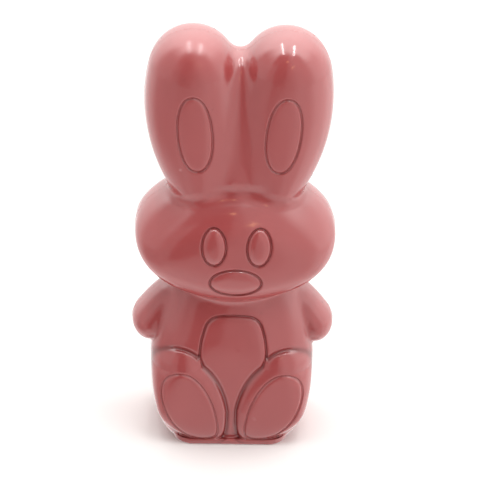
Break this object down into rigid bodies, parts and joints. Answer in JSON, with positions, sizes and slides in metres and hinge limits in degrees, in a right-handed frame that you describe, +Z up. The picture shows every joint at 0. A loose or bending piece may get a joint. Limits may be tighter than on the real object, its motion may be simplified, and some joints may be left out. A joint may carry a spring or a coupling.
{
  "type": "chocolate bunny",
  "caption": "Seated rabbit moulded in pink chocolate, with fused upright ears, engraved face, belly and soles, on a thin plinth.",
  "frame": {"origin": "centre of the bounding box in X and Y, on the underside of the plinth", "axes": "+Z up along the figure's height, -Y towards its face, +X to the viewer's right, with the figure symmetric about X = 0"},
  "size_m": [0.072, 0.047, 0.15],
  "materials": {
    "pink_chocolate": "glossy pink chocolate, smooth from the mould"
  },
  "bodies": {
    "root": {"bunny": "pink_chocolate"}
  },
  "joints": []
}
